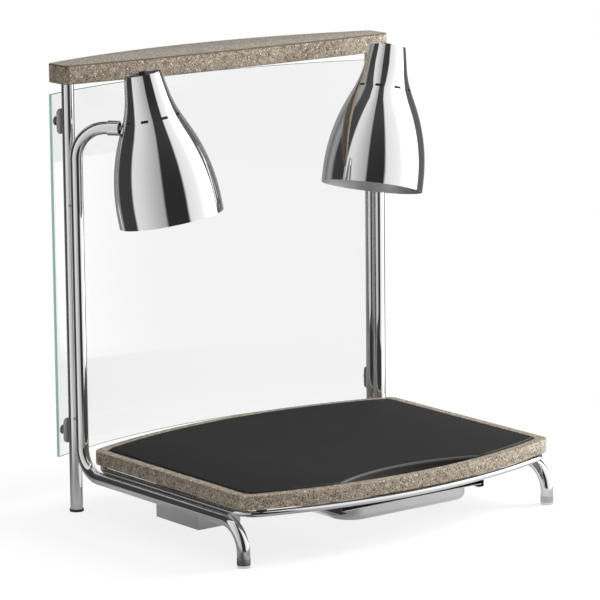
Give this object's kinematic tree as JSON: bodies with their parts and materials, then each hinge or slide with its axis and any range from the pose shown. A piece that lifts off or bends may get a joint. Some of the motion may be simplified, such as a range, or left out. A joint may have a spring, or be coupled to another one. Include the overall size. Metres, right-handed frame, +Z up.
{
  "type": "heated carving station",
  "caption": "Countertop carving station: heated bowed stone base with lift-out board, chrome tube frame, curved glass guard, stone header and swivelling heat lamps.",
  "frame": {"origin": "on the counter, below the middle of the outline", "axes": "+X to the operator's right, +Y to the guest side (glass), +Z up; the operator stands on the -Y side"},
  "size_m": [0.6534, 0.5859, 0.719],
  "materials": {
    "stone": "polished, speckled brown-grey",
    "board": "fine matte",
    "heater": "matte",
    "wool": "fibrous",
    "satin_steel": "satin",
    "chrome": "mirror bright",
    "rubber": "matte",
    "clear_glass": "polished, green edge",
    "knob_plastic": "satin",
    "black_plastic": "satin",
    "amber_lens": "gloss",
    "white_ceramic": "matte",
    "bulb_glass": "frosted"
  },
  "bodies": {
    "frame": {"stone_base": "stone", "heater_mat": "heater", "insulation_mat": "wool", "base_cover": "satin_steel", "cover_screws": "satin_steel", "support_ring": "chrome", "slab_pads": "rubber", "left_side_tube": "chrome", "right_side_tube": "chrome", "left_post": "chrome", "right_post": "chrome", "rear_feet": "rubber", "front_feet": "satin_steel", "post_rivets": "satin_steel", "post_top_plugs": "satin_steel", "stone_header": "stone", "glass_guard": "clear_glass", "glass_bolts": "satin_steel", "glass_washers": "knob_plastic", "left_channel": "satin_steel", "right_channel": "satin_steel", "control_box": "satin_steel", "control_box_lid": "satin_steel", "box_screws": "satin_steel", "thermostat": "black_plastic", "switch_housing": "black_plastic", "pilot_light": "amber_lens", "power_inlet": "black_plastic", "terminal_block": "white_ceramic", "left_arm_collar": "chrome", "right_arm_collar": "chrome"},
    "board": {"carving_board": "board"},
    "pan": {"drip_pan": "satin_steel"},
    "dial": {"thermostat_knob": "black_plastic"},
    "rocker": {"rocker_switch": "black_plastic"},
    "upper_left_knob": {"upper_left_knob": "knob_plastic"},
    "lower_left_knob": {"lower_left_knob": "knob_plastic"},
    "left_swivel": {"left_swivel_fork": "satin_steel", "left_tilt_pin": "satin_steel"},
    "left_lamp": {"left_shade_stem": "satin_steel", "left_stem_nuts": "satin_steel", "left_shade": "chrome", "left_shade_cap": "black_plastic", "left_lamp_socket": "white_ceramic", "left_bulb": "bulb_glass"},
    "left_button": {"left_lamp_button": "black_plastic"},
    "upper_right_knob": {"upper_right_knob": "knob_plastic"},
    "lower_right_knob": {"lower_right_knob": "knob_plastic"},
    "right_swivel": {"right_swivel_fork": "satin_steel", "right_tilt_pin": "satin_steel"},
    "right_lamp": {"right_shade_stem": "satin_steel", "right_stem_nuts": "satin_steel", "right_shade": "chrome", "right_shade_cap": "black_plastic", "right_lamp_socket": "white_ceramic", "right_bulb": "bulb_glass"},
    "right_button": {"right_lamp_button": "black_plastic"}
  },
  "joints": [
    {"name": "board_lift", "type": "slide", "parent": "frame", "child": "board", "axis": [0, 0, 1], "range_m": [0, 0.05]},
    {"name": "pan_slide", "type": "slide", "parent": "frame", "child": "pan", "axis": [0, -1, 0], "range_m": [0, 0.27]},
    {"name": "upper_left_knob_turn", "type": "hinge", "parent": "frame", "child": "upper_left_knob", "pos_m": [-0.30788, 0.22462, 0.6275], "axis": [-0.3483, 0.9374, 0], "continuous": true},
    {"name": "lower_left_knob_turn", "type": "hinge", "parent": "frame", "child": "lower_left_knob", "pos_m": [-0.30788, 0.22462, 0.131], "axis": [-0.3483, 0.9374, 0], "continuous": true},
    {"name": "upper_right_knob_turn", "type": "hinge", "parent": "frame", "child": "upper_right_knob", "pos_m": [0.30788, 0.22462, 0.6275], "axis": [0.3483, 0.9374, 0], "continuous": true},
    {"name": "lower_right_knob_turn", "type": "hinge", "parent": "frame", "child": "lower_right_knob", "pos_m": [0.30788, 0.22462, 0.131], "axis": [0.3483, 0.9374, 0], "continuous": true},
    {"name": "thermostat_turn", "type": "hinge", "parent": "frame", "child": "dial", "pos_m": [-0.209, -0.0685, 0.055], "axis": [1, 0, 0], "range_deg": [0, 270]},
    {"name": "switch_rock", "type": "hinge", "parent": "frame", "child": "rocker", "pos_m": [-0.212, -0.0135, 0.052], "axis": [0, -1, 0], "range_deg": [0, 20]},
    {"name": "left_lamp_swivel", "type": "hinge", "parent": "frame", "child": "left_swivel", "pos_m": [-0.26265, 0.13667, 0.6215], "axis": [0.5934, -0.8049, 0], "range_deg": [-40, 40]},
    {"name": "left_lamp_tilt", "type": "hinge", "parent": "left_swivel", "child": "left_lamp", "pos_m": [-0.26265, 0.13667, 0.6215], "axis": [-0.8045, -0.5931, -0.0311], "range_deg": [-6, 15]},
    {"name": "left_button_press", "type": "slide", "parent": "left_lamp", "child": "left_button", "axis": [0.1301, -0.1249, -0.9836], "range_m": [0, 0.0025], "stiffness_N_per_m": 500},
    {"name": "right_lamp_swivel", "type": "hinge", "parent": "frame", "child": "right_swivel", "pos_m": [0.26265, 0.13667, 0.6215], "axis": [-0.5934, -0.8049, 0], "range_deg": [-40, 40]},
    {"name": "right_lamp_tilt", "type": "hinge", "parent": "right_swivel", "child": "right_lamp", "pos_m": [0.26265, 0.13667, 0.6215], "axis": [-0.7978, 0.5882, 0.1323], "range_deg": [-6, 15]},
    {"name": "right_button_press", "type": "slide", "parent": "right_lamp", "child": "right_button", "axis": [-0.2491, -0.1218, -0.9608], "range_m": [0, 0.0025], "stiffness_N_per_m": 500}
  ]
}
